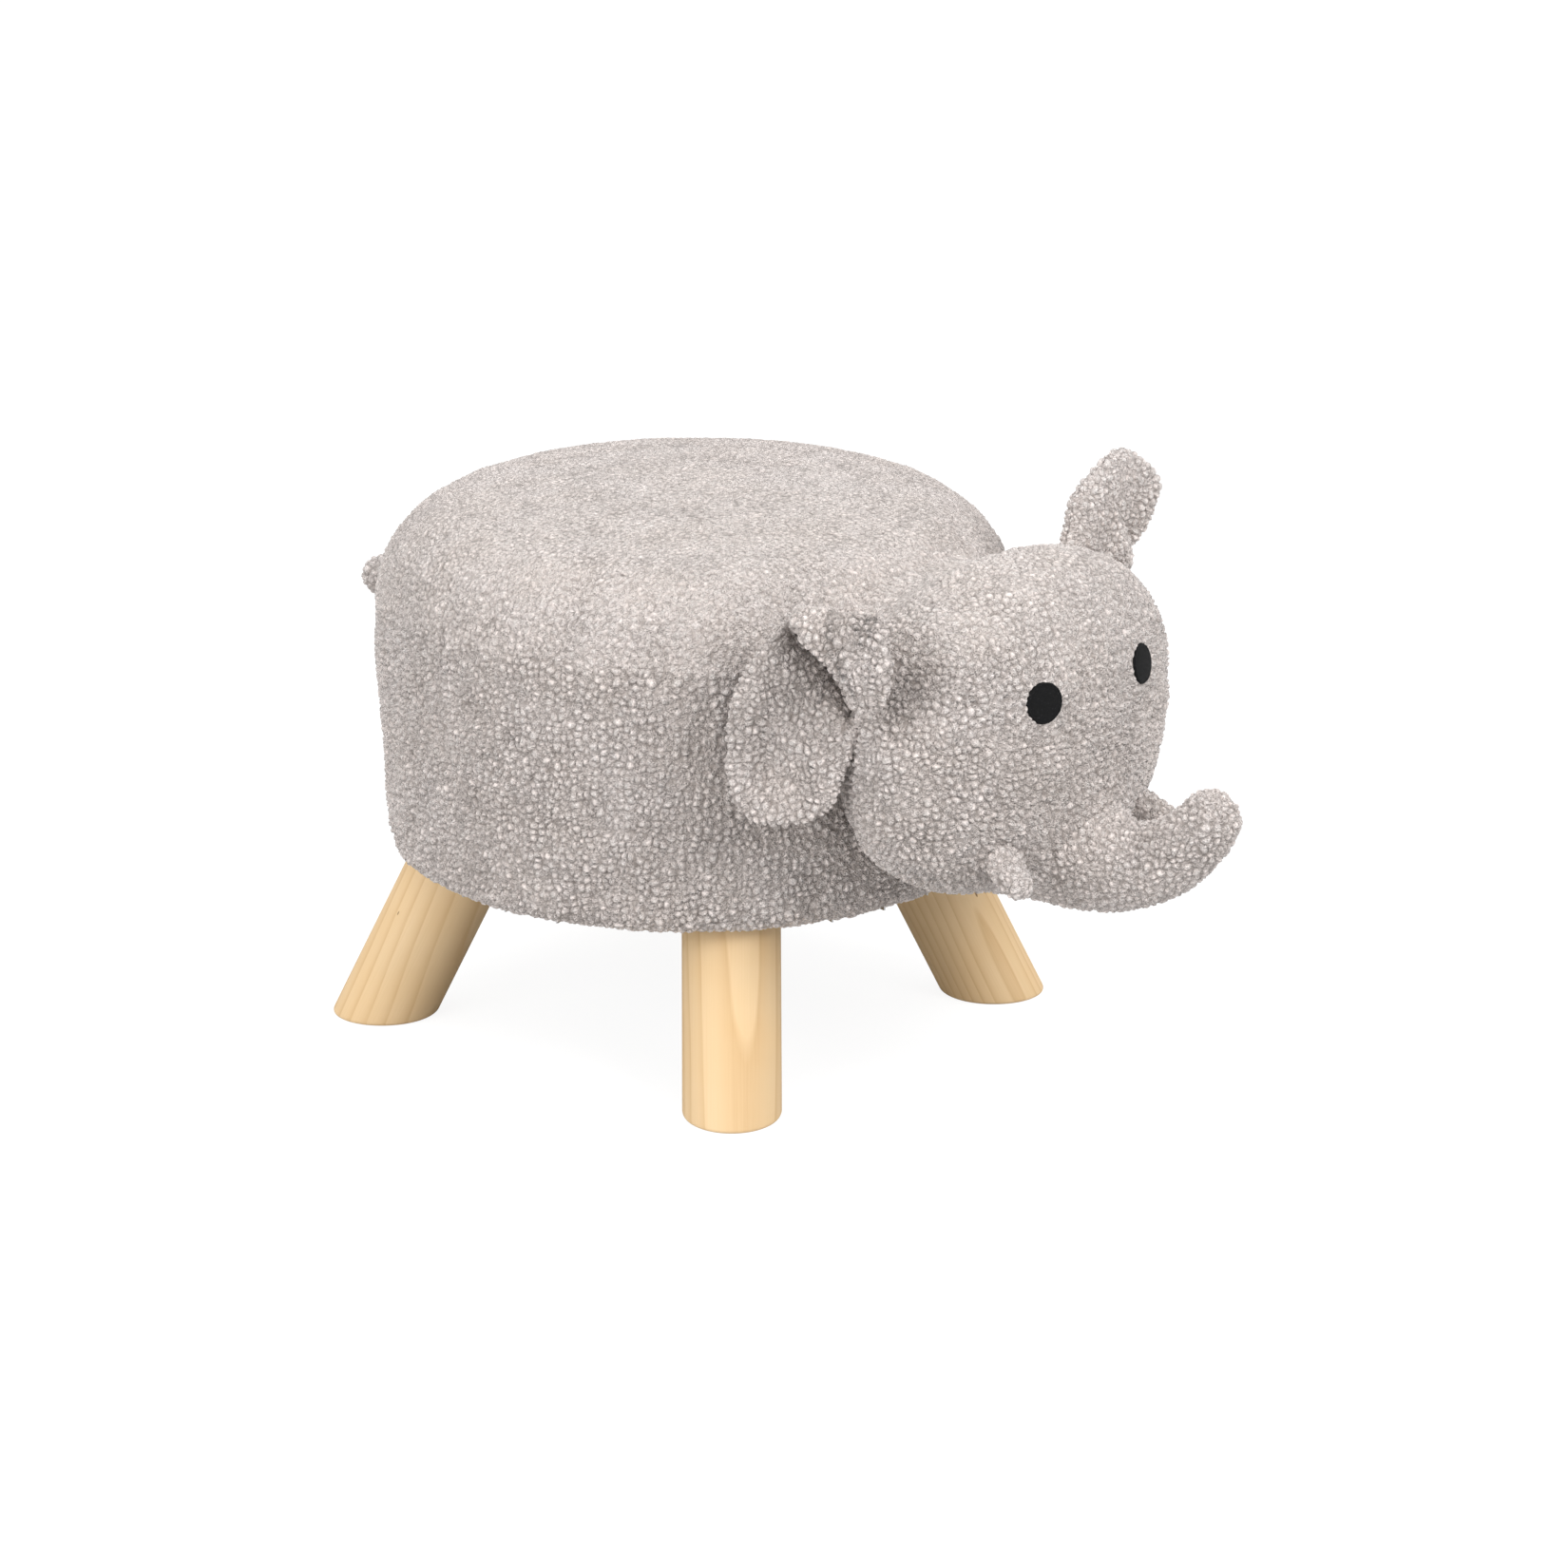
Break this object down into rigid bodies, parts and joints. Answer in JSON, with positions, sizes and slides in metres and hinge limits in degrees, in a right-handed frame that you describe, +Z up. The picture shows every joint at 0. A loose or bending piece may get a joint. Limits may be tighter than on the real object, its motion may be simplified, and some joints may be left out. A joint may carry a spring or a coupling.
{
  "type": "elephant footstool",
  "caption": "Low round padded footstool shaped like an elephant, with stuffed head, curled trunk, ears, tusks and tail, on four splayed round wooden legs.",
  "frame": {"origin": "on the floor, under the middle of the whole stool's bounding box", "axes": "+Z up, -Y the way the elephant faces, +X its left side"},
  "size_m": [0.288, 0.4869, 0.2744],
  "materials": {
    "boucle": "light grey curly plush, matte",
    "pine": "clear matte lacquer, fine lengthwise grain",
    "plywood": "bare birch plywood",
    "softwood": "sawn, bare",
    "fibreboard": "bare bent hardboard",
    "foam": "open-cell foam",
    "fibre_filling": "white fibre",
    "wadding": "white needled wadding",
    "dust_cloth": "black non-woven cloth",
    "eye_thread": "black satin stitch",
    "screw_steel": "zinc plated",
    "staple_steel": "bright"
  },
  "bodies": {
    "stool": {"bottom_board": "plywood", "top_board": "plywood", "barrel_wall": "fibreboard", "post_front": "softwood", "post_rear": "softwood", "post_left": "softwood", "post_right": "softwood", "post_screws": "screw_steel", "leg_screws": "screw_steel", "leg_front_left": "pine", "leg_front_right": "pine", "leg_rear_left": "pine", "leg_rear_right": "pine", "seat_foam": "foam", "side_wadding": "wadding", "cover_top_panel": "boucle", "cover_side_band": "boucle", "dust_cover": "dust_cloth", "cover_staples": "staple_steel", "head_cover": "boucle", "head_filling": "fibre_filling", "tusk_left": "boucle", "tusk_right": "boucle", "eye_left": "eye_thread", "eye_right": "eye_thread"},
    "ear_left": {"ear_left_outer": "boucle", "ear_left_lining": "boucle"},
    "ear_right": {"ear_right_outer": "boucle", "ear_right_lining": "boucle"},
    "trunk": {"trunk_cover": "boucle", "trunk_filling": "fibre_filling"},
    "tail": {"tail": "boucle"}
  },
  "joints": [
    {"name": "ear_left_flap", "type": "hinge", "parent": "stool", "child": "ear_left", "pos_m": [0.07679, -0.117, 0.22781], "axis": [-0.7832, 0, 0.6217], "range_deg": [-30, 35], "stiffness_Nm_per_rad": 0.05},
    {"name": "ear_right_flap", "type": "hinge", "parent": "stool", "child": "ear_right", "pos_m": [-0.1015, -0.11541, 0.19471], "axis": [0.316, -0.1107, 0.9423], "range_deg": [-5, 35], "stiffness_Nm_per_rad": 0.1},
    {"name": "trunk_bend", "type": "hinge", "parent": "stool", "child": "trunk", "pos_m": [0, -0.15969, 0.12015], "axis": [-1, 0, 0], "range_deg": [-10, 10], "stiffness_Nm_per_rad": 2},
    {"name": "tail_flap", "type": "hinge", "parent": "stool", "child": "tail", "pos_m": [0, 0.2013, 0.188], "axis": [0, 0, 1], "range_deg": [-30, 30], "stiffness_Nm_per_rad": 0.02}
  ]
}
